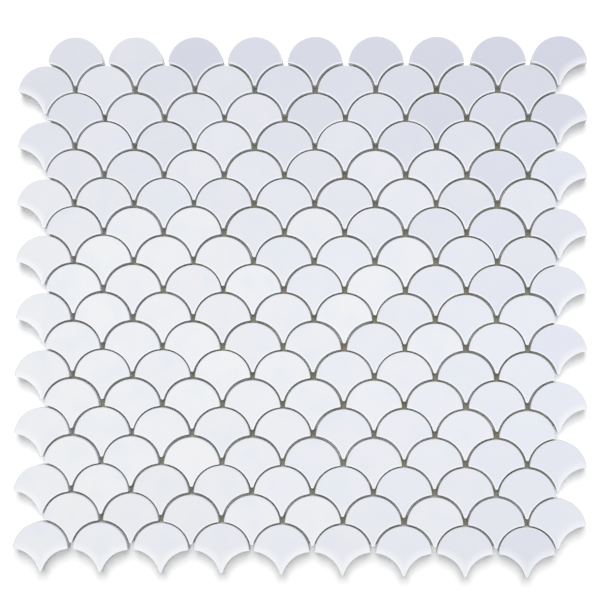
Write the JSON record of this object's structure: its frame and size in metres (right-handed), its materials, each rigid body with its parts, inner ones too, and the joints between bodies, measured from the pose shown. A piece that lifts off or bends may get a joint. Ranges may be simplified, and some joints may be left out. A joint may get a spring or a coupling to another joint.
{
  "type": "marble mosaic tile sheet",
  "caption": "Sheet of white marble fan-shaped mosaic tiles laid in staggered fish-scale rows on a mesh backing, for bonding to a wall or floor.",
  "frame": {"origin": "under the middle of the sheet's outline, on the back face that it lies on", "axes": "+Z out of the polished face, +X along the rows of tiles, +Y towards the round tops of the tiles"},
  "size_m": [0.3018, 0.284, 0.0095],
  "materials": {
    "marble": "polished white marble",
    "mesh": "khaki adhesive on woven glass-fibre mesh"
  },
  "bodies": {
    "root": {"mesh_backing": "mesh", "tile_row_01": "marble", "tile_row_02": "marble", "tile_row_03": "marble", "tile_row_04": "marble", "tile_row_05": "marble", "tile_row_06": "marble", "tile_row_07": "marble", "tile_row_08": "marble", "tile_row_09": "marble", "tile_row_10": "marble", "tile_row_11": "marble", "tile_row_12": "marble", "tile_row_13": "marble", "tile_row_14": "marble", "tile_row_15": "marble", "tile_row_16": "marble", "tile_row_17": "marble", "tile_row_18": "marble"}
  },
  "joints": []
}
